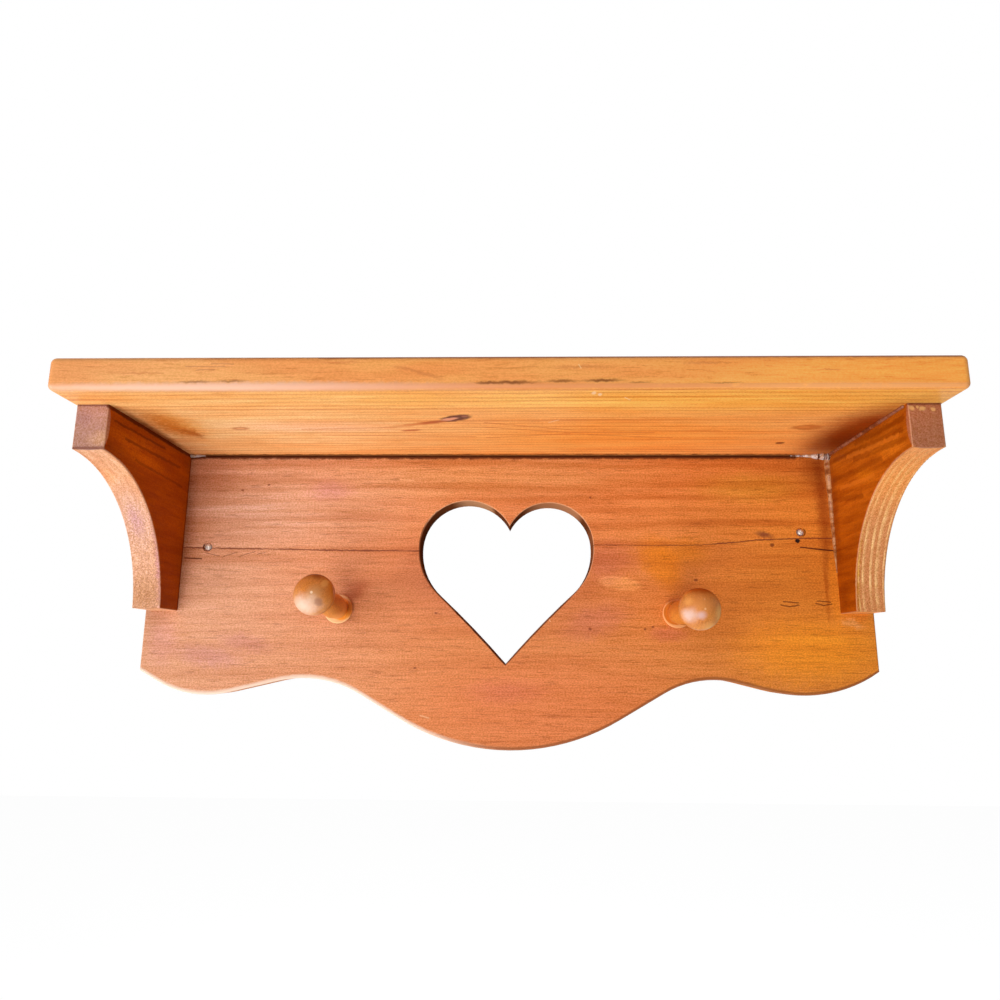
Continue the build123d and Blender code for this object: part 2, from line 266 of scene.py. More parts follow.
def spot(tree, place, fray, mark):   # the mask of one oval or stroke
    sockets = {"Vector": place, "Fray": fray, "Ragged": mark.get("ragged", 0.5) * mm,
               "Strength": mark.get("strength", 1.0)}
    if "to" in mark:
        sockets.update({"From": millimetres(mark["at"]), "To": millimetres(mark["to"]),
                        "Width": mark["wide"] * mm})
        return useGroup(tree, scratchShape, sockets)[0]
    sockets.update({"At": millimetres(mark["at"]), "Size": millimetres(mark["size"]),
                    "Turn": degrees(mark.get("turn", (0, 0, 0))), "Softness": mark.get("soft", 0.7)})
    return useGroup(tree, markShape, sockets)[0]


def layMarks(tree, place, fray, edges, colour, hollow, marks):
    # "tone" covers the wood, "tint" multiplies it, "deep" sinks the mark, "edge" keeps it to sawn edges
    for mark in marks:
        mask = spot(tree, place, fray, mark)
        if "edge" in mark:
            mask = times(tree, mask, edges[mark["edge"]])
        if "tint" in mark:
            colour = mixTones(tree, mask, colour, (*mark["tint"], 1), "MULTIPLY")
        else:
            colour = mixTones(tree, mask, colour, tone(*mark["tone"]))
        if "deep" in mark:
            hollow = maths(tree, "MULTIPLY_ADD", mask, mark["deep"], hollow)
    return colour, hollow


def openCrack(tree, place, colour, hollow, crack):
    x, y, z = put(tree, "ShaderNodeSeparateXYZ", {0: place}).outputs
    tremble = noise(tree, place, crack["tremble"], 2.0, 0.6, (1.0, 0.0, 0.3))
    swing = crack["swing"] * mm
    line = maths(tree, "ADD", lineThrough(tree, x, crack["path"], *crack["band"]),
                 maths(tree, "MULTIPLY_ADD", tremble, 2 * swing, -swing))
    gap = maths(tree, "ABSOLUTE", maths(tree, "SUBTRACT", z, line))
    pinch = noise(tree, place, crack["pinch"], 2.0, 0.5, (1.0, 0.0, 0.0))
    width = lineThrough(tree, x, crack["width"], *crack["widthBand"])
    width = times(tree, width, ramp(tree, pinch, 0.3, 0.7, 0.4, 1.0))
    width = maths(tree, "ADD", width, crack["thinnest"] * mm)
    fissure = ramp(tree, maths(tree, "DIVIDE", gap, width), 0.4, 1.0, 1.0, 0.0)
    colour = mixTones(tree, times(tree, fissure, crack["strength"]), colour, tone(*crack["tone"]))
    return colour, maths(tree, "MULTIPLY_ADD", fissure, crack["deep"], hollow)


def rubAndShadeScallop(tree, place, fray, colour, scallop):
    # the front arris of the scallop, rubbed pale on the left and brown on the right, where the brown is
    # painted shade
    frayed = vectorMaths(tree, "ADD", place, scaled(tree, fray, scallop["ragged"] * mm))
    x, y, z = put(tree, "ShaderNodeSeparateXYZ", {0: frayed}).outputs
    above = maths(tree, "SUBTRACT", z, lineThrough(tree, x, scallop["path"], *scallop["band"]))
    front = ramp(tree, y, scallop["front"] * mm, scallop["back"] * mm, 1.0, 0.0)
    for side in scallop["sides"]:
        mask = times(tree, front, ramp(tree, above, side["high"] * mm, side["low"] * mm))
        mask = times(tree, mask, ramp(tree, x, side["start"] * mm, side["end"] * mm, 0.0, side["strength"]))
        colour = mixTones(tree, mask, colour, tone(*side["tone"]))
    return colour


def layFigure(tree, figure, bands, ringShow, tones):
    colour = mixTones(tree, bands, tone(*tones["early"]), tone(*tones["band"]))
    return mixTones(tree, times(tree, figure["Ring"], ringShow), colour, tone(*tones["late"]))


def growFigure(tree, place, wood):   # the figure of a board, sawn out of the tree at its own place
    lie = Euler(degrees(wood["lie"]))
    pith = lie.to_matrix() @ Vector(millimetres(wood["pith"]))
    sawn = put(tree, "ShaderNodeMapping", {"Vector": place, "Location": -pith, "Rotation": lie}).outputs[0]
    sizes = {"Ring Width": "ringWidth", "Wander": "wander", "Wave": "wave", "Band Width": "bandWidth",
             "Band Length": "bandLength"}
    return useGroup(tree, pineFigure, {
        "Vector": sawn, **{socket: wood[key] * mm for socket, key in sizes.items()}})


def stainWood(tree, place, figure, wood):
    # returns the colour, and how much of the fine grain shows
    fray = figure["Fray"]
    bands = times(tree, ramp(tree, figure["Band"], 0.34, 0.66), wood["bandShow"])
    if "calm" in wood:   # part of the board where the bands are faint
        bands = times(tree, bands, maths(tree, "SUBTRACT", 1.0, spot(tree, place, fray, wood["calm"])))
    colour = layFigure(tree, figure, bands, wood["ringShow"], wood)
    if "face" not in wood:
        return colour, 1.0
    face = wood["face"]   # one face that took the stain in its own way
    stained = layFigure(tree, figure, times(tree, bands, face["bandShow"]), face["ringShow"], face)
    facing = spot(tree, place, fray, face)
    return mixTones(tree, facing, colour, stained), ramp(tree, facing, 0.0, 1.0, 1.0, face["grain"])


def stainEnds(tree, place, figure, along, colour, wood):
    # sawn across the fibres the wood drinks more stain and shows its pores
    pores = ramp(tree, noise(tree, place, wood["poreScale"], 3.0, 0.7), 0.3, 0.7)
    ends = mixTones(tree, pores, tone(*wood["endDark"]), tone(*wood["endLight"]))
    ends = mixTones(tree, times(tree, figure["Ring"], wood["endRing"]), ends, tone(*wood["endLate"]))
    return mixTones(tree, times(tree, along, wood["endShow"]), colour, ends)


def layFineGrain(tree, figure, lively, colour, wood):
    streaks = ramp(tree, figure["Fibre"], 0.36, 0.64, -wood["fibreShow"], wood["fibreShow"])
    grains = ramp(tree, figure["Speckle"], 0.32, 0.68, -wood["speckShow"], wood["speckShow"])
    mottle = scaled(tree, grainTint, times(tree, lively, maths(tree, "ADD", streaks, grains)))
    colour = vectorMaths(tree, "MULTIPLY", colour, vectorMaths(tree, "ADD", mottle, (1.0, 1.0, 1.0)))
    hairs = times(tree, figure["Hair"], wood["hairShow"])
    return mixTones(tree, hairs, colour, (*wood["hair"], 1), "MULTIPLY")


def makePine(name, wood):
    material, tree = newMaterial(name)
    place = objectPlace(tree)
    normal = put(tree, "ShaderNodeNewGeometry").outputs["Normal"]
    figure = growFigure(tree, place, wood)
    fray = figure["Fray"]
    colour, lively = stainWood(tree, place, figure, wood)
    along = useGroup(tree, arrisShape, {"Normal": normal, "Axis": wood["axis"]})["Along"]
    colour = stainEnds(tree, place, figure, along, colour, wood)
    edges = useGroup(tree, arrisShape, {"Normal": normal, "Axis": wood["wearAxis"]})
    rim = maths(tree, "SUBTRACT", 1.0, edges["Along"])
    edges = {"arris": edges["Arris"], "wall": rim, "ease": edges["Ease"]}
    hollow = times(tree, figure["Ring"], -wood["ringRise"])
    colour, hollow = layMarks(tree, place, fray, edges, colour, hollow, wood.get("washes", []))
    colour = layFineGrain(tree, figure, lively, colour, wood)
    # edges rubbed thin of their stain
    chafe = ramp(tree, noise(tree, place, wood["wearScale"], 3.0, 0.65), 0.2, 0.45)
    chafe = times(tree, chafe, wood["wearShow"])
    if "wearAt" in wood:
        chafe = times(tree, chafe, spot(tree, place, fray, wood["wearAt"]))
    colour = mixTones(tree, times(tree, edges["arris"], chafe), colour, tone(*wood["wear"]))
    colour, hollow = layMarks(tree, place, fray, edges, colour, hollow, wood.get("marks", []))
    if "scallop" in wood:
        colour = rubAndShadeScallop(tree, place, fray, colour, wood["scallop"])
    if "crack" in wood:
        colour, hollow = openCrack(tree, place, colour, hollow, wood["crack"])
    height = maths(tree, "MULTIPLY_ADD", figure["Fibre"], wood["fibreRise"], times(tree, hollow, -1.0))
    sheen = ramp(tree, figure["Fibre"], 0.35, 0.65, *wood["gloss"])
    coat, shine = wood["coat"], wood["shine"]
    if wood["dullRim"]:   # sawn walls drink the varnish and stay dull
        varnish = maths(tree, "MULTIPLY_ADD", rim, -wood["dullRim"], 1.0)
        coat, shine = times(tree, varnish, coat), times(tree, varnish, shine)
    shader = put(tree, "ShaderNodeBsdfPrincipled", {
        "Base Color": colour, "Roughness": maths(tree, "MULTIPLY_ADD", along, wood["endRough"], sheen),
        "Normal": bumps(tree, height, wood["relief"], wood["reliefDepth"]),
        "Coat Weight": coat, "Coat Roughness": wood["coatRough"], "Specular IOR Level": shine})
    put(tree, "ShaderNodeOutputMaterial", {0: shader.outputs[0]})
    return material


def oval(at, size, **looks):   # marks for layMarks
    return dict(at=at, size=size, **looks)


def stroke(at, to, **looks):
    return dict(at=at, to=to, **looks)


def alike(shared, places):   # marks that share these settings, unless they say otherwise
    return [dict(shared, **place) for place in places]


def lowerEdge(node, top):   # from left to right: the board's corners at the wall that lie below the top
    corners = [vert.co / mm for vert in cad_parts[node].data.vertices]
    return sorted({(round(x, 2), round(z, 2)) for x, y, z in corners if round(y, 2) == 0 and z < top})


plainPine = dict(
    # the tree's pith seen from the board, and which way the fibres, the sawn ends and the wear lie
    pith=(0, 45, -70), lie=(0, 0, 0), axis=(1, 0, 0), wearAxis=(0, 1, 0),
    # the figure's sizes
    ringWidth=2.6, wander=9, wave=0.6, bandWidth=9, bandLength=80, poreScale=900, wearScale=90,
    # colours, and how strongly each part shows
    early=(226, 138, 82), band=(208, 112, 58), late=(180, 88, 40), hair=(0.62, 0.45, 0.3),
    endDark=(120, 66, 38), endLight=(178, 112, 66), endLate=(104, 54, 32), wear=(240, 190, 140),
    bandShow=0.8, ringShow=0.4, fibreShow=0.08, hairShow=0.4, speckShow=0.16, endRing=0.5, endShow=0.9,
    wearShow=0.4,
    # relief and varnish
    relief=0.25, reliefDepth=0.4, ringRise=0.2, fibreRise=0.4, gloss=(0.4, 0.52), endRough=0.18,
    shine=0.14, dullRim=0, coat=0.05, coatRough=0.3,
)

shelfWood = dict(
    plainPine, pith=(0, 140, 12), lie=(0, 0, 0.5), ringWidth=6, wander=5, wave=0.4, bandWidth=12,
    bandLength=70, early=(253, 182, 102), band=(249, 164, 82), late=(216, 114, 42), hair=(0.7, 0.48, 0.32),
    bandShow=0.8, ringShow=0.72, fibreShow=0.1, hairShow=0.4, speckShow=0.14, endDark=(196, 120, 66),
    endLight=(236, 162, 96), endLate=(176, 100, 52), endShow=0.7, wearAxis=(0, 0, 1), wear=(234, 156, 94),
    # wear shows only on the front's lower arris, where its pale band is partly a painted highlight
    wearShow=0.8, wearAt=oval((0, -156, 0), (900, 12, 9), soft=0.3),
    face=oval((0, -158, 10), (900, 2.6, 900), soft=0.5, ragged=0.3, ringShow=0.35, grain=0.55, bandShow=1,
              early=(255, 174, 94), band=(248, 154, 80), late=(230, 134, 68)),
    washes=alike(dict(soft=0.9, ragged=8), [
        # underside: paler on the left and at the front; beside the brackets a stain and painted shade
        oval((-190, -80, 0), (260, 95, 7), soft=0.95, tint=(1.03, 1.42, 2.3)),
        oval((160, -138, 0), (300, 34, 7), tint=(1.08, 1.2, 0.85)),
        oval((-40, -140, 0), (240, 26, 7), tint=(1.03, 1.2, 1.3)),
        oval((-119, -88, 0), (80, 18, 7), tint=(1, 1, 1.3)),
        oval((80, -70, 0), (150, 60, 7), tint=(1.02, 0.88, 0.6)),
        # painted shadow: a dark line along the left bracket's top; then a golden-brown stain beside it
        oval((-229, -76, 0), (7, 74, 5), soft=0.8, ragged=5, tint=(0.32, 0.16, 0.1)),
        oval((-208, -92, 0), (26, 48, 7), soft=0.85, ragged=14, tint=(0.9, 0.66, 0.36)),
        oval((-212, -90, 0), (15, 40, 6), turn=(0, 0, -6), ragged=16, tone=(206, 112, 30), strength=0.85),
        oval((-205, -74, 0), (8, 16, 4), turn=(0, 0, -24), soft=0.8, ragged=9, tone=(176, 86, 20),
             strength=0.8),
        # painted shade beside the right bracket, and a darker patch near its back
        oval((230, -74, 0), (46, 86, 8), turn=(0, 0, 3), soft=0.75, tint=(0.28, 0.1, 0.02)),
        oval((224, -52, 0), (26, 46, 8), ragged=6, tint=(0.6, 0.5, 0.3)),
        # front edge: greyer on the left, yellower on the right
        oval((-260, -158, 9), (230, 12, 30), tint=(0.96, 1.12, 1.5)),
        oval((260, -158, 9), (230, 12, 30), tint=(1.18, 1.22, 0.9))]),
    marks=alike(dict(soft=0.5, ragged=2, strength=0.8), [
        # knot of the underside, with its tail
        oval((-50, -95, 0), (32, 4.5, 4), turn=(0, 0, -18), soft=0.8, ragged=3, tone=(214, 120, 60)),
        oval((-43, -98, 0), (14, 3, 4), turn=(0, 0, -18), soft=0.6, ragged=1.5, tone=(176, 84, 44)),
        oval((-29.5, -105.4, 0), (12.5, 6.6, 3), turn=(0, 0, -26), soft=0.4, ragged=3.4, tone=(84, 34, 24),
             strength=0.95, deep=0.6),
        oval((-33.5, -103.4, 0), (7.6, 3, 3), turn=(0, 0, -26), ragged=1.6, tone=(236, 158, 122),
             strength=0.95),
        oval((-24, -108.6, 0), (2.6, 2, 3), ragged=1, tone=(176, 110, 84), strength=0.7),
        oval((-60, -80.4, 0), (9, 3, 3), turn=(0, 0, -12), soft=0.6, tone=(196, 98, 52), strength=0.85),
        # small eyes and stains
        oval((-169.5, -84.6, 0), (7.4, 4.4, 3), turn=(0, 0, -8), tone=(196, 112, 62), strength=0.7),
        oval((-169.5, -84.6, 0), (3.4, 1.6, 3), soft=0.4, ragged=1, tone=(246, 186, 130), strength=0.6),
        oval((190, -85.6, 0), (13, 7, 3), ragged=5, tone=(186, 96, 34), strength=0.75),
        oval((188, -86.4, 0), (5, 2.2, 3), ragged=1.6, tone=(232, 146, 70), strength=0.7),
        oval((185, -50.6, 0), (4, 3, 3), tone=(110, 48, 20), strength=0.85),
        # flame of the figure, running out to the right
        *alike(dict(wide=2.6, tone=(214, 112, 48), strength=0.6), [
            stroke((-12, -96, 0), (43, -81, 0)), stroke((-12, -86.5, 0), (39, -76, 0)),
            stroke((-12, -64, 0), (42, -72.5, 0)), stroke((43, -81, 0), (139, -78.5, 0)),
            stroke((55, -70, 0), (110, -63, 0)), stroke((39, -75.5, 0), (96, -75, 0)),
            stroke((-130, -83, 0), (-70, -86, 0)), stroke((-120, -70, 0), (-20, -66, 0))]),
        # scratches and spatters
        *alike(dict(wide=1, tone=(255, 220, 176), ragged=0.5), [
            stroke((-212.2, -49.6, 0), (-207.9, -45.3, 0)), stroke((27.5, -96.5, 0), (33.4, -101.5, 0)),
            stroke((68.3, -142.1, 0), (71.7, -137.9, 0))]),
        *alike(dict(ragged=1.6, tone=(255, 222, 182), strength=0.7), [
            oval((50.2, -149.5, 0), (1.8, 3.4, 2)), oval((53.8, -147.1, 0), (1.4, 3, 2))]),
        # the corner against the backboard: painted shade, darkened further by old polish
        stroke((-229, -19, 0), (206, -19, 0), wide=9, ragged=7, tone=(120, 62, 26), strength=0.85),
        # front edge: a pale lower arris, rubbed and partly a painted highlight; a dark line at the top,
        # painted shade; grime and scuffs
        # the pale lower arris: rubbed, and partly a painted highlight
        oval((-150, -158, 0.8), (190, 7, 4.2), soft=0.75, ragged=2.5, tone=(240, 190, 164), strength=0.85),
        oval((20, -158, 0.8), (200, 7, 3.4), soft=0.8, ragged=2.5, tone=(216, 134, 82), strength=0.6),
        oval((200, -158, 0.8), (110, 7, 3.4), soft=0.8, ragged=2.5, tone=(248, 176, 112), strength=0.5),
        # painted shade: the dark line on the top rounding
        stroke((-100, -156.6, 18.4), (252, -156.6, 18.4), wide=4.4, ragged=1, tone=(136, 66, 28)),
        stroke((-160, -156.6, 18.6), (-100, -156.6, 18.6), wide=3.4, ragged=1, tone=(136, 66, 28),
               strength=0.6),
        stroke((-220, -156.6, 18.8), (-160, -156.6, 18.8), wide=2.4, ragged=1, tone=(160, 90, 44),
               strength=0.4),
        *alike(dict(soft=0.9, tone=(112, 60, 22)), [
            oval((4, -158, 3.2), (22, 4, 1.5), strength=0.85),
            oval((-9, -158, 3), (9, 4, 1.1), strength=0.7),
            oval((32, -158, 3.8), (13, 4, 1.4), strength=0.7),
            oval((54, -158, 4), (15, 4, 1.4), strength=0.85),
            oval((74, -158, 3), (9, 4, 0.8), strength=0.5),
            oval((120, -158, 2.8), (15, 4, 0.7), strength=0.45),
            oval((-168, -158, 3.9), (14, 4, 1.1), strength=0.5),
            oval((-148, -158, 4.2), (12, 4, 1), strength=0.55)]),
        *alike(dict(soft=0.95, ragged=3, tone=(210, 114, 60), strength=0.5), [
            oval((-51, -158, 10.6), (15, 8, 1.5), turn=(0, 12, 0)),
            oval((-40, -158, 7.4), (13, 8, 1.6), turn=(0, 14, 0)), oval((176, -158, 10), (12, 8, 0.9)),
            oval((42, -158, 12), (24, 8, 1.6)), oval((110, -158, 14), (22, 8, 1.2)),
            oval((-90, -158, 15), (24, 8, 1.2)), oval((-200, -158, 9), (20, 8, 1.2))]),
        *alike(dict(wide=1.2, ragged=1.2, tone=(200, 120, 78), strength=0.45), [
            stroke((-174, -158, 12.9), (-152.3, -158, 12.7)), stroke((-168, -158, 10.6), (-158, -158, 11)),
            stroke((-160, -158, 14.6), (-148, -158, 14.2))]),
        stroke((41.4, -158, 13.4), (42.6, -158, 11.2), wide=0.8, tone=(255, 206, 146), ragged=0.5)]),
)

boardWood = dict(
    plainPine, ringWidth=3.4, wander=7, wave=0.5, bandWidth=6, bandLength=150, early=(229, 145, 87),
    band=(206, 116, 59), late=(190, 99, 51), hair=(0.56, 0.42, 0.34), bandShow=0.85, ringShow=0.2,
    fibreShow=0.09, hairShow=0.42, speckShow=0.2, dullRim=1,
    calm=oval((0, -10, -170), (560, 60, 120), soft=0.4, strength=0.6), wear=(240, 190, 150), wearShow=0.6,
    washes=alike(dict(soft=0.8, ragged=8), [
        # the middle is redder than the ends
        oval((-6, -19, -92), (190, 14, 60), soft=0.95, ragged=16, tint=(0.93, 0.84, 0.8)),
        oval((150, -19, -112), (90, 14, 40), soft=0.95, ragged=16, tint=(0.97, 0.9, 0.78)),
        # paler and bluer on the left, a painted sheen of the varnish; yellower on the right, redder in the
        # middle and below it
        # painted sheen: the varnish's reflection of the window, paler and bluer on the left
        oval((-250, -19, -95), (240, 90, 210), soft=0.95, ragged=14, tint=(0.98, 1.36, 2.4)),
        oval((260, -19, -90), (270, 90, 250), soft=0.95, ragged=14, tint=(1, 0.92, 0.3)),
        oval((-150, -19, -30), (150, 30, 46), ragged=10, tint=(1.04, 1.3, 1.7)),
        oval((0, -19, -15), (150, 30, 26), soft=0.9, ragged=10, tint=(0.97, 1.16, 1.2)),
        oval((30, -19, -178), (150, 30, 52), ragged=14, tint=(1, 0.84, 0.82)),
        oval((0, -19, -84), (92, 30, 50), soft=0.5, tint=(0.91, 0.88, 1)),
        # gold patches
        oval((108, -19, -78), (17, 30, 28), turn=(0, -32, 0), soft=0.7, ragged=9, tint=(1.02, 0.94, 0.36)),
        oval((124, -19, -70), (26, 30, 15), soft=0.9, tint=(1.04, 1.02, 0.5)),
        oval((172, -19, -24), (52, 30, 15), tint=(1, 1.22, 0.95)),
        oval((205, -19, -138), (70, 30, 30), ragged=16, tint=(1.22, 1.26, 0.68)),
        # mauve clouds
        oval((72.8, -19, -75.6), (26, 30, 20), ragged=10, tint=(0.92, 0.86, 1.15)),
        oval((62, -19, -118), (34, 30, 16), turn=(0, -20, 0), ragged=10, tint=(0.9, 0.84, 1.2)),
        oval((112, -19, -126), (20, 30, 8), tint=(0.9, 0.8, 1.2)),
        oval((-205, -19, -143), (34, 30, 11), turn=(0, 8, 0), ragged=9, tint=(0.9, 0.86, 1.08)),
        oval((-180, -19, -134), (26, 30, 9), turn=(0, 10, 0), ragged=9, tint=(0.9, 0.84, 1)),
        oval((-238, -19, -134), (16, 30, 22), ragged=9, tint=(0.97, 0.93, 1.1)),
        oval((-126, -19, -26), (24, 30, 12), soft=0.9, ragged=9, tint=(0.94, 0.86, 1.1)),
        oval((0, -19, -165), (40, 30, 12), soft=0.9, ragged=9, tint=(0.94, 0.86, 1.05)),
        # pale oval, the paler corner and what the brackets and pegs keep from the light
        oval((79.3, -19, -91.9), (18, 20, 5.4), turn=(0, 8, 0), soft=0.35, ragged=3, tint=(1.22, 1.5, 1.7)),
        oval((236, -19, -119), (13, 20, 4.5), turn=(0, 14, 0), soft=0.9, tone=(240, 172, 100),
             strength=0.6),
        oval((-246, -19, -50), (28, 14, 90), soft=0.5, ragged=3, tint=(0.55, 0.46, 0.4)),
        oval((-214, -19, -14), (34, 14, 30), soft=0.9, tint=(0.86, 0.78, 0.74)),
        oval((-104, -19, -98), (15, 8, 10), turn=(0, -35, 0), soft=0.9, ragged=4, tint=(0.7, 0.5, 0.4)),
        oval((223.5, -19, -40), (8, 14, 80), turn=(0, -1, 0), soft=0.95, ragged=4, tint=(0.56, 0.4, 0.3)),
        oval((219, -19, -10), (14, 14, 22), soft=0.9, ragged=3, tint=(0.7, 0.6, 0.5)),
        oval((200, -19, -15), (60, 14, 18), soft=0.9, tint=(0.9, 0.86, 0.8)),
        # varnish that ran down beside the right bracket
        oval((226.5, -19, -96), (4.4, 14, 36), turn=(0, -1, 0), soft=0.6, ragged=3, tone=(232, 138, 40),
             strength=0.8),
        oval((221, -19, -98), (2, 14, 30), ragged=3, tint=(0.8, 0.66, 0.5))]),
    marks=alike(dict(soft=0.5), [
        # the heart's sawn walls: dark on the left and below, pale on top of the lobes
        oval((2, -10, -92), (90, 60, 90), soft=0.1, edge="wall", tone=(104, 54, 28), strength=0.95),
        oval((0, -19, -112), (62, 9, 46), soft=0.3, edge="ease", tone=(110, 56, 28), strength=0.85),
        oval((-62, -19, -72), (22, 9, 34), edge="ease", tone=(120, 66, 36), strength=0.8),
        *alike(dict(ragged=3, edge="wall", strength=0.85), [
            oval((-20, -10, -36), (20, 60, 6), tone=(206, 148, 106)),
            oval((38, -10, -39), (28, 60, 11), tone=(196, 132, 92)),
            oval((64, -10, -64), (8, 60, 22), tone=(150, 90, 56))]),
        # painted shade where the board meets the shelf, with dark dirt in the joint
        stroke((-232, -19, -0.6), (206, -19, -0.6), wide=6, ragged=3, tone=(104, 48, 22), strength=0.9,
               deep=0.6),
        # smudge, nail hole and splits beside the right bracket
        oval((181, -19, -57.6), (9, 4, 3.4), turn=(0, 14, 0), soft=0.8, ragged=4, tone=(122, 60, 40),
             strength=0.8),
        oval((186, -19, -64.8), (2, 4, 1.7), ragged=1.5, tone=(110, 50, 22), strength=0.8, deep=0.5),
        oval((203.6, -19, -61.8), (2.2, 5, 1.8), turn=(0, -20, 0), soft=0.4, ragged=1, tone=(34, 14, 8),
             deep=2),
        stroke((205.3, -19, -66.2), (215.2, -19, -67.4), wide=1.2, tone=(96, 40, 16), deep=0.8),
        stroke((215.2, -19, -67.4), (228, -19, -68.6), wide=1.4, tone=(84, 34, 12), deep=0.8),
        # splits beside the left screw
        stroke((-227.4, -19, -75.2), (-215.5, -19, -75.6), wide=1.2, tone=(110, 56, 32), deep=0.8),
        *alike(dict(wide=0.8, ragged=1.2, tone=(140, 74, 44), strength=0.75, deep=0.4), [
            stroke((-213, -19, -71.4), (-203, -19, -73.6)), stroke((-201, -19, -74.4), (-190.4, -19, -71)),
            stroke((-188.4, -19, -73.9), (-177.8, -19, -70.4)),
            stroke((-176, -19, -72.6), (-170, -19, -70.6))]),
        # dents
        *alike(dict(wide=1.1, ragged=1, tone=(112, 52, 16), strength=0.85, deep=0.9), [
            stroke((189, -19, -106.3), (195, -19, -107.4)),
            stroke((195, -19, -107.4), (201.4, -19, -106.4)),
            stroke((213, -19, -105.2), (218.3, -19, -106.6)),
            stroke((218.3, -19, -106.6), (224, -19, -105.4)), stroke((191, -19, -104), (201, -19, -104.8)),
            stroke((214, -19, -103.5), (223, -19, -104.2))]),
        # specks
        *alike(dict(size=(1.3, 4, 1), soft=0.6, ragged=1, tone=(130, 56, 30), strength=0.8), [
            oval((131.9, -19, -89.4), (2, 4, 1.2)), oval((58, -19, -123.3), (1.6, 4, 1.3)),
            dict(at=(95.6, -19, -123.1)), dict(at=(101.1, -19, -121.7)), dict(at=(-48.2, -19, -112.9)),
            dict(at=(-61.7, -19, -150.2)), dict(at=(-190, -19, -26)), dict(at=(-171, -19, -22)),
            dict(at=(60, -19, -31))]),
        *alike(dict(wide=0.9, tone=(252, 200, 152), strength=0.65), [
            stroke((30, -19, -116.8), (30.8, -19, -118.4)),
            stroke((-57.5, -19, -181.3), (-51.5, -19, -183)),
            stroke((-76.5, -19, -18), (-66.5, -19, -18.6))]),
        oval((152, -19, -161.5), (26, 8, 2), turn=(0, 7, 0), soft=0.6, ragged=2, tone=(150, 84, 40),
             strength=0.7)]),
    scallop=dict(
        ragged=0.8, front=-17.5, back=-14.5, band=(-204, -150),
        path=lowerEdge("back_board", -149),
        sides=[
            dict(low=1.3, high=3.3, start=10, end=-70, tone=(246, 216, 194), strength=0.9),
            # painted shade: the arris's dark line on the right
            dict(low=1.5, high=2.8, start=-60, end=10, tone=(140, 76, 38), strength=0.75),
        ],
    ),
    crack=dict(
        band=(-80, -50), widthBand=(0, 1), tone=(116, 52, 32), strength=0.85, deep=1.6, thinnest=0.01,
        tremble=420, swing=0.6, pinch=75,
        path=[
            (-251, -67.4), (-228, -67.6), (-206, -68), (-153, -68.7), (-124, -69.3), (-96, -69.5),
            (-62, -69.7), (64, -65.1), (101, -65.2), (136, -64.9), (164, -62.6), (176, -61.2), (202, -60.2),
            (214, -59.9), (251, -60.1),
        ],
        width=[
            (-251, 0), (-240, 0.5), (-228, 0.75), (-206, 0.85), (-160, 0.8), (-110, 0.95), (-62, 0.85),
            (64, 0.5), (100, 0.42), (125, 0.5), (150, 0.75), (226, 0.9), (232, 0), (251, 0),
        ],
    ),
)

bracketWood = dict(
    plainPine, lie=(0, 0, 90), axis=(0, 1, 0), wearAxis=(1, 0, 0), wave=0.4, bandWidth=5, bandLength=50,
    endShow=0.95, wearShow=0.25, wear=(240, 196, 160), speckShow=0.2, hairShow=0.4, shine=0.06, coat=0,
)

leftBracketWood = dict(
    bracketWood, pith=(-1100, 0, -30), ringWidth=5.4, wander=6, bandShow=0.8, ringShow=0.5,
    early=(240, 182, 140), band=(224, 154, 110), late=(204, 130, 86), endDark=(196, 136, 104),
    endLight=(246, 192, 158), endLate=(190, 128, 90), endRing=0.3,
    face=oval((-219.3, -75, -56), (11, 900, 900), soft=0.06, ragged=0.3, ringShow=0.7, grain=0.7,
              bandShow=1, early=(186, 92, 0), band=(166, 76, 0), late=(124, 48, 0)),
    washes=alike(dict(soft=0.9, ragged=6), [
        oval((-238.8, -134.5, -12), (16, 8, 19), soft=0.12, ragged=0.8, tone=(184, 138, 124), strength=0.9),
        oval((-233, -134, -21), (9, 8, 7), soft=0.8, tint=(1.25, 1.3, 1.05)),
        oval((-244, -134, -8), (8, 8, 8), soft=0.8, tint=(0.86, 0.84, 0.95)),
        oval((-240, -80, -60), (16, 40, 36), tint=(0.92, 1, 1.25)),
        oval((-240, -45, -102), (16, 30, 18), tint=(0.84, 0.78, 0.66)),
        oval((-229.3, -50, -85), (4, 60, 50), tint=(0.82, 0.7, 1)),
        oval((-229.3, -96, -18), (4, 46, 16), tint=(1.46, 1.76, 1.2)),
        # clouds on the arch
        oval((-240, -66, -52), (7, 14, 22), ragged=8, tint=(0.9, 0.84, 1.05)),
        oval((-244, -100, -36), (7, 12, 10), ragged=8, tint=(1.03, 0.92, 0.8))]),
    marks=alike(dict(ragged=0.8), [
        # darker lines where the nose and the inner face meet their neighbours
        stroke((-249, -132, -26.3), (-229, -132, -26.3), wide=2.6, tone=(130, 80, 66), strength=0.75),
        stroke((-249, -132, -0.4), (-229, -132, -0.4), wide=2.2, tone=(110, 62, 50), strength=0.7),
        *alike(dict(ragged=2, tone=(92, 32, 4)), [
            stroke((-229.3, -132, -0.8), (-229.3, -19, -0.8), wide=4.4, strength=0.85),
            stroke((-229.3, -124, -7.6), (-229.3, -60, -6.4), wide=2.2, strength=0.6),
            stroke((-229.3, -110, -14.4), (-229.3, -36, -13.4), wide=2.6, strength=0.5),
            stroke((-229.3, -96, -24), (-229.3, -30, -26), wide=2.2, strength=0.4),
            stroke((-229.3, -19.6, 0), (-229.3, -19.6, -110), wide=2.6, strength=0.6)]),
        # hatching near the foot
        *alike(dict(wide=0.9, ragged=1, tone=(120, 62, 24), strength=0.85), [
            stroke((-245, -26, -92), (-241, -24, -100)), stroke((-241, -26, -93), (-236, -24, -103)),
            stroke((-238, -26, -90), (-232, -24, -102)), stroke((-246, -25, -101), (-242, -22, -110)),
            stroke((-240, -24, -103), (-236, -21, -111))])]),
)

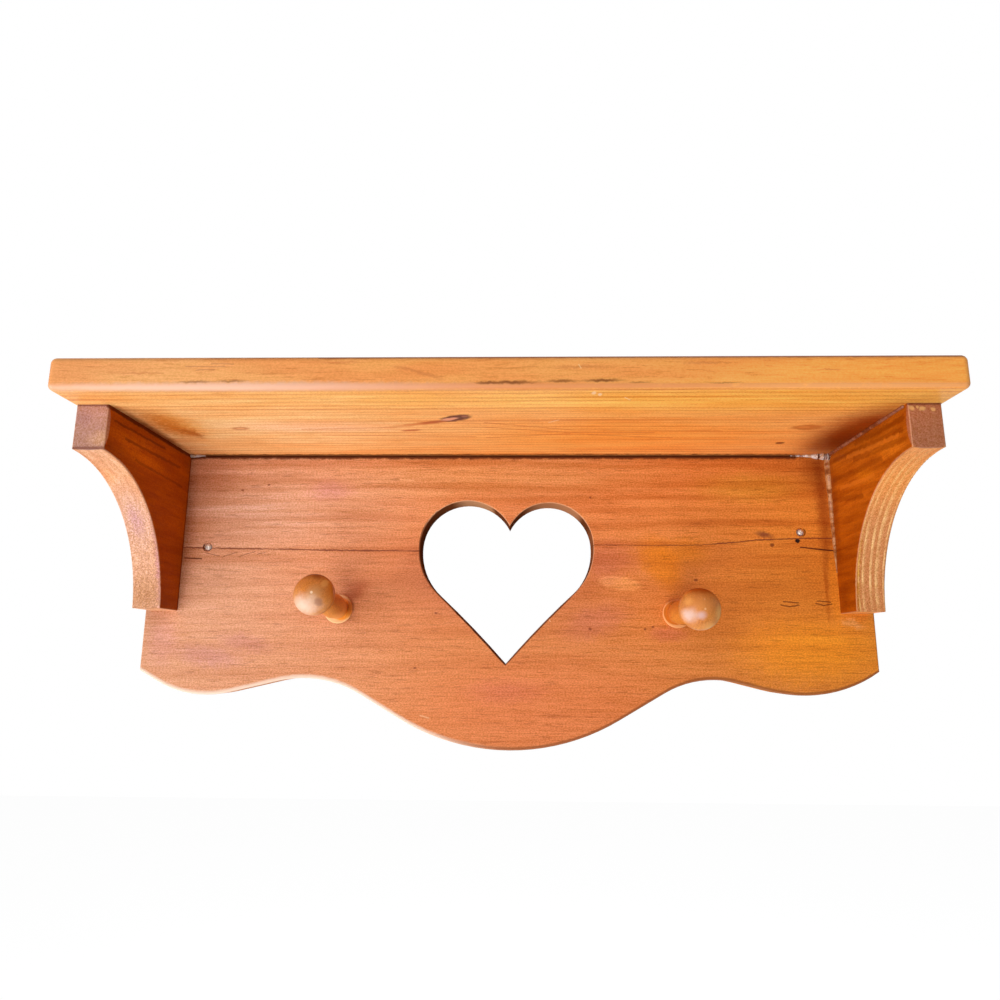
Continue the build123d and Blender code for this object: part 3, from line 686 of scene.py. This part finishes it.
rightBracketWood = dict(
    bracketWood, pith=(1100, 0, -60), ringWidth=3.9, wander=3, bandShow=0.5, ringShow=0.9,
    early=(246, 160, 86), band=(234, 144, 76), late=(255, 196, 122), endDark=(202, 126, 76),
    endLight=(222, 148, 94), endLate=(255, 206, 140), endRing=0.95,
    face=oval((219.3, -75, -56), (11, 900, 900), soft=0.06, ragged=0.3, ringShow=0.3, grain=0.7,
              bandShow=1.3, early=(194, 103, 18), band=(150, 66, 0), late=(126, 50, 0)),
    washes=alike(dict(soft=0.8, ragged=6), [
        oval((238.8, -134.5, -12), (16, 8, 19), soft=0.12, ragged=0.8, tone=(178, 112, 80), strength=0.93),
        oval((229.3, -30, -90), (4, 70, 60), soft=0.9, tint=(0.8, 0.68, 0.24)),
        oval((240, -28, -104), (16, 12, 32), soft=0.9, ragged=4, tint=(0.66, 0.54, 0.42)),
        oval((229.3, -104, -17), (4, 34, 10), turn=(6, 0, 0), tint=(1.3, 1.46, 1.6)),
        oval((229.3, -74, -28), (4, 20, 7), turn=(16, 0, 0), tint=(1.12, 1.25, 1)),
        oval((229.3, -23, -40), (4, 9, 60), ragged=2, tint=(0.75, 0.65, 0.6)),
        oval((229.3, -80, 0), (4, 70, 8), ragged=3, tint=(0.75, 0.62, 0.6))]),
    marks=alike(dict(ragged=3), [
        # pale chips along the top of the nose
        *alike(dict(soft=0.6, ragged=2.6, tone=(228, 180, 116), strength=0.9), [
            oval((231.4, -132, -3.2), (2, 3, 1.7), turn=(0, 30, 0)),
            oval((234.8, -132, -2.4), (1.2, 3, 1.2)),
            oval((237.4, -132, -3.4), (2.4, 3, 1.5), turn=(0, -20, 0)),
            oval((243, -132, -3.6), (1.7, 3, 1.6), turn=(0, 40, 0))]),
        # dark streaks of the inner face
        *alike(dict(wide=5, tone=(120, 46, 0), strength=0.45), [
            stroke((229.3, -29, -6.9), (229.3, -123, -12.7)), stroke((229.3, -64, -4.1), (229.3, -125, -7)),
            stroke((229.3, -60, -14), (229.3, -126, -19)), stroke((229.3, -26, -20), (229.3, -96, -23)),
            stroke((229.3, -24, -34), (229.3, -66, -40))]),
        *alike(dict(wide=4, tone=(220, 124, 34), strength=0.5), [
            stroke((229.3, -50, -9.8), (229.3, -118, -15)), stroke((229.3, -36, -28), (229.3, -84, -31))]),
        stroke((249, -132, -0.4), (229, -132, -0.4), wide=2.2, ragged=0.8, tone=(104, 56, 40),
               strength=0.7)]),
)

pegWood = dict(
    plainPine, lie=(0, 0, 90), axis=(0, 1, 0), wearAxis=(0, 1, 0), pith=(-150, 0, -60), ringWidth=2.2,
    wander=4, wave=0.4, bandWidth=6, bandLength=22, bandShow=0.6, ringShow=0.2, fibreShow=0.05,
    hairShow=0.25, speckShow=0.14, early=(220, 136, 50), band=(202, 112, 36), late=(180, 90, 26),
    endDark=(196, 104, 42), endLight=(216, 128, 58), endLate=(180, 90, 34), endShow=0.2, wearShow=0.1,
    relief=0.06, gloss=(0.34, 0.4), shine=0.2, coat=0.25, coatRough=0.25,
)

leftPegWood = dict(
    pegWood,
    marks=alike(dict(soft=0.7, strength=0.95), [
        # head: painted shade on top, gold on the right, a painted pale highlight below and painted glints
        # painted shade on top of the head
        oval((-113.5, -84, -92.5), (15, 18, 7), soft=0.8, ragged=3, tone=(132, 54, 2)),
        oval((-103.6, -82, -104), (7, 18, 10), ragged=2, tone=(206, 110, 10), strength=0.9),
        oval((-114, -92, -106), (8, 5, 8), soft=0.8, ragged=2, tone=(206, 146, 90), strength=0.7),
        # painted highlight, the window's reflection, low on the head
        oval((-119, -87, -111.6), (13, 12, 9.4), soft=0.8, ragged=4, tone=(238, 202, 178)),
        oval((-111.4, -91, -110.8), (3.2, 4, 3.4), soft=0.6, ragged=1.5, tone=(168, 112, 84), strength=0.7),
        # painted glints: gold at the top right, pale in the middle
        oval((-108.9, -88, -99.6), (2.6, 5, 3.6), turn=(0, 20, 0), soft=0.5, ragged=1.2,
             tone=(228, 160, 84), strength=0.85),
        oval((-115.5, -92.5, -105.1), (1.1, 3, 1.1), soft=0.5, tone=(252, 218, 180), strength=0.9),
        # collar: a painted highlight on its rim, painted shade on the right, painted light on the body
        # below
        # painted highlight: the pale rim of the collar
        oval((-114.5, -20.5, -112), (12, 3, 12), soft=0.05, tone=(250, 204, 146), strength=0.9),
        oval((-113.5, -22, -110.6), (8.6, 6, 8.6), soft=0.2, ragged=0.6, tone=(250, 162, 54)),
        # painted shade on the collar's right
        oval((-107.5, -23, -109), (4.2, 6, 9), ragged=1.5, tone=(176, 84, 6), strength=0.85),
        # painted light on the body below the collar
        oval((-113, -34, -115.5), (6, 14, 5), ragged=1.5, tone=(255, 172, 90), strength=0.8)]),
)

rightPegWood = dict(
    pegWood,
    marks=alike(dict(soft=0.7, ragged=2, strength=0.8), [
        # head: painted shade on top, a painted whitish highlight, painted yellow highlights on the rim and
        # painted glints
        # painted shade on top of the head
        oval((119, -84, -101.5), (14, 18, 6), tone=(176, 78, 2), strength=0.95),
        oval((118, -90, -112), (11, 9, 10), soft=0.8, tone=(236, 150, 78), strength=0.7),
        # painted whitish highlight
        oval((110.9, -88, -117), (6.5, 9, 6), soft=0.9, tone=(238, 204, 192), strength=0.9),
        oval((117, -91, -117.4), (5, 5, 3.6), soft=0.9, tone=(230, 192, 190)),
        # painted highlights: yellow on the upper left, on the right rim and on the lower edge
        oval((110.6, -88, -109.6), (4, 7, 3.4), soft=0.8, tone=(250, 174, 92), strength=0.7),
        oval((128.4, -82, -116), (4.6, 14, 9), tone=(242, 186, 100)),
        oval((122.5, -83, -123.8), (8, 12, 4), tone=(238, 172, 94), strength=0.75),
        # painted glints
        *alike(dict(size=(1, 3, 1), soft=0.6, tone=(252, 196, 140), ragged=0.5), [
            dict(at=(119.3, -90, -108.1)), dict(at=(119.3, -92, -113.9)), dict(at=(124, -89, -111.9))]),
        # collar: a pale ring, a painted highlight, round a gold face, with painted shade above
        # painted highlight: a pale ring on the collar's rim
        oval((116.1, -20.5, -112.4), (11.5, 3, 11.5), soft=0.05, tone=(244, 172, 108), strength=0.9,
             ragged=0.5),
        oval((116.5, -20.5, -112.2), (8.6, 6, 8.6), soft=0.1, ragged=0.5, tone=(206, 112, 20),
             strength=0.95),
        # painted shade on the top of the collar
        oval((115, -24, -103.5), (10, 12, 5), soft=0.8, ragged=1.5, tone=(176, 84, 4))]),
)

plugWood = dict(plainPine, lie=(0, 0, 35), early=(232, 150, 80), band=(218, 132, 62), late=(190, 100, 42))

dresses = {
    "shelf_board": makePine("Shelf pine", shelfWood),
    "back_board": makePine("Backboard pine", boardWood),
    "left_bracket": makePine("Left bracket pine", leftBracketWood),
    "right_bracket": makePine("Right bracket pine", rightBracketWood),
    "left_peg": makePine("Left peg wood", leftPegWood),
    "right_peg": makePine("Right peg wood", rightPegWood),
    "shelf_plugs": makePine("Plug pine", plugWood),
}


# ---- steel

screwSteel = dict(bright=(250, 240, 232), dull=(206, 192, 182), rust=(140, 92, 66), rustShow=0.2,
                  rustMetal=0.7, rough=0.5, dullRough=0.2, metal=0.6, dullScale=700, rustScale=320,
                  reliefScale=2500, relief=0.15, reliefDepth=0.1)


def makeSteel(name, steel):
    material, tree = newMaterial(name)
    place = objectPlace(tree)
    dull = ramp(tree, noise(tree, place, steel["dullScale"], 3.0, 0.6), 0.35, 0.7)
    colour = mixTones(tree, dull, tone(*steel["bright"]), tone(*steel["dull"]))
    rust = ramp(tree, noise(tree, place, steel["rustScale"], 4.0, 0.7), 0.55, 0.7)
    colour = mixTones(tree, times(tree, rust, steel["rustShow"]), colour, tone(*steel["rust"]))
    loss = -steel["rustMetal"] * steel["rustShow"]
    grit = noise(tree, place, steel["reliefScale"])
    shader = put(tree, "ShaderNodeBsdfPrincipled", {
        "Base Color": colour, "Metallic": maths(tree, "MULTIPLY_ADD", rust, loss, steel["metal"]),
        "Roughness": maths(tree, "MULTIPLY_ADD", dull, steel["dullRough"], steel["rough"]),
        "Normal": bumps(tree, grit, steel["relief"], steel["reliefDepth"])})
    put(tree, "ShaderNodeOutputMaterial", {0: shader.outputs[0]})
    return material


steel = makeSteel("Screw steel", screwSteel)
for node in ("wall_screws", "bracket_screws", "shelf_screws"):
    dresses[node] = steel
for node, material in dresses.items():
    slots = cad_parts[node].data.materials
    slots.clear()
    slots.append(material)
print("solids dressed")


# ---- old glue in the corners, and the threads of the wall screws

def placeObject(name, data):
    item = bpy.data.objects.new(name, data)
    bpy.context.scene.collection.objects.link(item)
    return item


def meshFrom(name, net, material):
    mesh = bpy.data.meshes.new(name)
    net.to_mesh(mesh)
    net.free()
    mesh.materials.append(material)
    return placeObject(name, mesh)


def finishPiece(name, net, material):
    bmesh.ops.recalc_face_normals(net, faces=net.faces)
    for face in net.faces:
        face.smooth = True
    piece = meshFrom(name, net, material)
    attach(piece, "root")


glue = dict(sides=12, wobble=0.12, cloudScale=260, dirtScale=900, dirtShow=0.7, lumpScale=700,
            rough=0.35, shine=0.4, relief=0.5, reliefDepth=0.5)
glueTones = {
    "Old glue": dict(pale=(216, 198, 190), stained=(184, 138, 104), dirt=(120, 82, 58)),
    "Brown glue": dict(pale=(192, 132, 80), stained=(152, 86, 40), dirt=(98, 52, 20)),
    "Stained glue": dict(pale=(140, 76, 46), stained=(118, 56, 28), dirt=(90, 42, 20)),
}
beads = {   # places and widths along each bead
    "glue_right_top": dict(
        start=(203, -19.6, -0.6), end=(229.4, -21.4, -1.2), widths=(0.6, 1.2, 2.4, 5, 7), steps=26,
        seed=1, paint="Old glue"),
    "glue_right_corner": dict(
        start=(228.9, -19.4, -2), end=(229, -19.2, -84), widths=(5.6, 4.6, 3.8, 3.2, 2.4, 0.8),
        steps=48, seed=4, paint="Brown glue"),
    "glue_right_bracket": dict(
        start=(229.2, -24, -0.4), end=(229.2, -128, -0.3), widths=(3.2, 2.7, 2.6, 2.7, 2), steps=60,
        seed=2, paint="Stained glue"),
    "glue_left_corner": dict(
        start=(-229.2, -20.4, -0.6), end=(-219, -19.4, -0.4), widths=(3, 2, 0.8), steps=12, seed=6,
        paint="Old glue"),
}


def makeGlue(name, tones):
    material, tree = newMaterial(name)
    place = objectPlace(tree)
    cloud = ramp(tree, noise(tree, place, glue["cloudScale"], 3.0, 0.6), 0.42, 0.64)
    colour = mixTones(tree, cloud, tone(*tones["pale"]), tone(*tones["stained"]))
    dirt = ramp(tree, noise(tree, place, glue["dirtScale"], 2.0, 0.6), 0.58, 0.75)
    colour = mixTones(tree, times(tree, dirt, glue["dirtShow"]), colour, tone(*tones["dirt"]))
    lumps = noise(tree, place, glue["lumpScale"], 3.0)
    shader = put(tree, "ShaderNodeBsdfPrincipled", {
        "Base Color": colour, "Roughness": glue["rough"], "Specular IOR Level": glue["shine"],
        "Normal": bumps(tree, lumps, glue["relief"], glue["reliefDepth"])})
    put(tree, "ShaderNodeOutputMaterial", {0: shader.outputs[0]})
    return material


def beadSize(bead, index):   # the radius at one step, lumpy where the glue ran
    spans = len(bead["widths"]) - 1
    share = index / bead["steps"] * spans
    low = min(int(share), spans - 1)
    width = bead["widths"][low] + (share - low) * (bead["widths"][low + 1] - bead["widths"][low])
    lump = glue["wobble"] * math.sin(0.8 * index + bead["seed"]) * math.cos(0.37 * index)
    return width * (1 + lump) * mm / 2


def makeBead(name, bead, material):
    # glue squeezed out of a joint: a small capped ring, extruded and resized from step to step
    net = bmesh.new()
    centre, end = Vector(millimetres(bead["start"])), Vector(millimetres(bead["end"]))
    step = (end - centre) / bead["steps"]
    turn = step.to_track_quat("Z", "Y").to_matrix().to_4x4()
    size = bead["widths"][0] * mm / 2
    bmesh.ops.create_circle(net, cap_ends=True, segments=glue["sides"], radius=size,
                            matrix=Matrix.Translation(centre) @ turn)
    cap = net.faces[:][0]
    for index in range(1, bead["steps"] + 1):
        newSize = beadSize(bead, index)
        grown = bmesh.ops.extrude_face_region(net, geom=[cap])["geom"]
        cap = [item for item in grown if isinstance(item, bmesh.types.BMFace)][0]
        centre = centre + step
        bmesh.ops.translate(net, verts=cap.verts, vec=step)
        bmesh.ops.scale(net, verts=cap.verts, vec=(newSize / size,) * 3, space=Matrix.Translation(-centre))
        size = newSize
    finishPiece(name, net, material)


glues = {name: makeGlue(name, tones) for name, tones in glueTones.items()}
for name, bead in beads.items():
    makeBead(name, bead, glues[bead["paint"]])
print("glue laid")

thread = dict(root=1.9, crest=2.35, width=0.8, pitch=1.5, start=1, turns=14, segments=20)


def makeThread(name, centre):
    # a ridge with a sharp crest, spun along the shank behind the board
    net = bmesh.new()
    start = thread["start"]
    profile = [(thread["root"], start), (thread["crest"], start + thread["width"] / 2),
               (thread["root"], start + thread["width"])]
    verts = [net.verts.new((centre[0] + out * mm, y * mm, centre[2])) for out, y in profile]
    face = net.faces.new(verts)
    rise = thread["pitch"] * mm / thread["segments"]
    bmesh.ops.spin(net, geom=[face], cent=centre, axis=(0, 1, 0), dvec=(0, rise, 0), use_duplicate=False,
                   angle=math.tau * thread["turns"], steps=thread["turns"] * thread["segments"])
    finishPiece(name, net, steel)


screwNet = bmesh.new()
screwNet.from_mesh(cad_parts["wall_screws"].data)
for side, name in ((-1, "left_screw_thread"), (1, "right_screw_thread")):
    screw = [vert.co for vert in screwNet.verts if vert.co.x * side > 0]
    x, z = [(min(co[axis] for co in screw) + max(co[axis] for co in screw)) / 2 for axis in (0, 2)]
    makeThread(name, (x, 0, z))
screwNet.free()
print("threads cut")


# ---- stage, lights and camera

room = dict(floorDrop=1.3, floorSize=12, floorTone=0.86, floorLift=0.85, worldFill=0.15)
white = (1, 1, 1, 1)


def seenRays(tree):   # 1 for rays of the eye, straight or by way of a gloss or glass
    rays = put(tree, "ShaderNodeLightPath").outputs
    return maths(tree, "MAXIMUM", rays["Is Camera Ray"],
                 maths(tree, "MAXIMUM", rays["Is Glossy Ray"], rays["Is Transmission Ray"]))


def layFloor():
    paint, tree = newMaterial("Pale floor")
    matt = put(tree, "ShaderNodeBsdfDiffuse", {0: (room["floorTone"],) * 3 + (1,)}).outputs[0]
    lift = put(tree, "ShaderNodeEmission", {
        0: white, 1: times(tree, seenRays(tree), room["floorLift"])}).outputs[0]
    both = put(tree, "ShaderNodeAddShader", {0: matt, 1: lift}).outputs[0]
    put(tree, "ShaderNodeOutputMaterial", {0: both})
    net = bmesh.new()
    bmesh.ops.create_grid(net, x_segments=1, y_segments=1, size=room["floorSize"] / 2)
    bmesh.ops.translate(net, verts=net.verts, vec=(0, 0, -room["floorDrop"]))
    meshFrom("floor", net, paint)


def paintWorld():
    world = bpy.data.worlds.new("Studio")
    bpy.context.scene.world = world
    world.use_nodes = True
    tree = world.node_tree
    tree.nodes.clear()
    strength = put(tree, "ShaderNodeMapRange", {0: seenRays(tree), 3: room["worldFill"], 4: 1.0}).outputs[0]
    put(tree, "ShaderNodeOutputWorld", {
        0: put(tree, "ShaderNodeBackground", {0: white, 1: strength}).outputs[0]})


lamps = {
    "Window on the left": dict(at=(-1.15, -0.55, -0.5), aim=(0, -0.05, -0.08), size=0.6, power=6.5),
    "Soft front": dict(at=(-0.45, -1.5, 0), aim=(0, -0.05, -0.08), size=0.7, power=6),
    "Low front": dict(at=(-0.3, -0.6, -1.3), aim=(0, -0.08, -0.05), size=1.2, power=26),
    "Soft top": dict(at=(0.3, -0.5, 1.7), aim=(0, 0, 0), size=1.6, power=8),
}


def addLamp(name, lamp):
    light = bpy.data.lights.new(name, "AREA")
    light.shape, light.size, light.size_y = "RECTANGLE", lamp["size"], lamp["size"]
    light.energy = lamp["power"]
    holder = placeObject(name, light)
    holder.location = lamp["at"]
    aim = Vector(lamp["aim"]) - Vector(lamp["at"])
    holder.rotation_euler = aim.to_track_quat("-Z", "Y").to_euler()
    holder.visible_camera = False


# turned by right, up and roll; focal is a share of the picture's width, and the middle is in its pixels
view = dict(at=(8.978, -542.998, -142.485), right=0.0248, up=0.2053, roll=-0.0063, focal=0.75114,
            middle=(500.49, 500.59), width=1000, sensor=36, nearest=0.01)


def addCamera():
    turn = (Matrix.Rotation(view["right"], 3, "Z") @ Matrix.Rotation(view["up"], 3, "X")
            @ Matrix.Rotation(view["roll"], 3, "Y"))
    right, ahead, up = turn.col
    lens = bpy.data.cameras.new("Camera")
    lens.sensor_fit, lens.sensor_width = "HORIZONTAL", view["sensor"]
    lens.lens = view["sensor"] * view["focal"]
    lens.shift_x = (view["width"] / 2 - view["middle"][0]) / view["width"]
    lens.shift_y = (view["middle"][1] - view["width"] / 2) / view["width"]
    lens.clip_start = view["nearest"]
    camera = placeObject("Camera", lens)
    camera.matrix_world = (Matrix.Translation(millimetres(view["at"]))
                           @ Matrix((right, up, -ahead)).transposed().to_4x4())
    bpy.context.scene.camera = camera


layFloor()
paintWorld()
for name, lamp in lamps.items():
    addLamp(name, lamp)
addCamera()
bpy.context.scene.view_settings.view_transform = "Standard"
print("stage, lamps and camera placed")
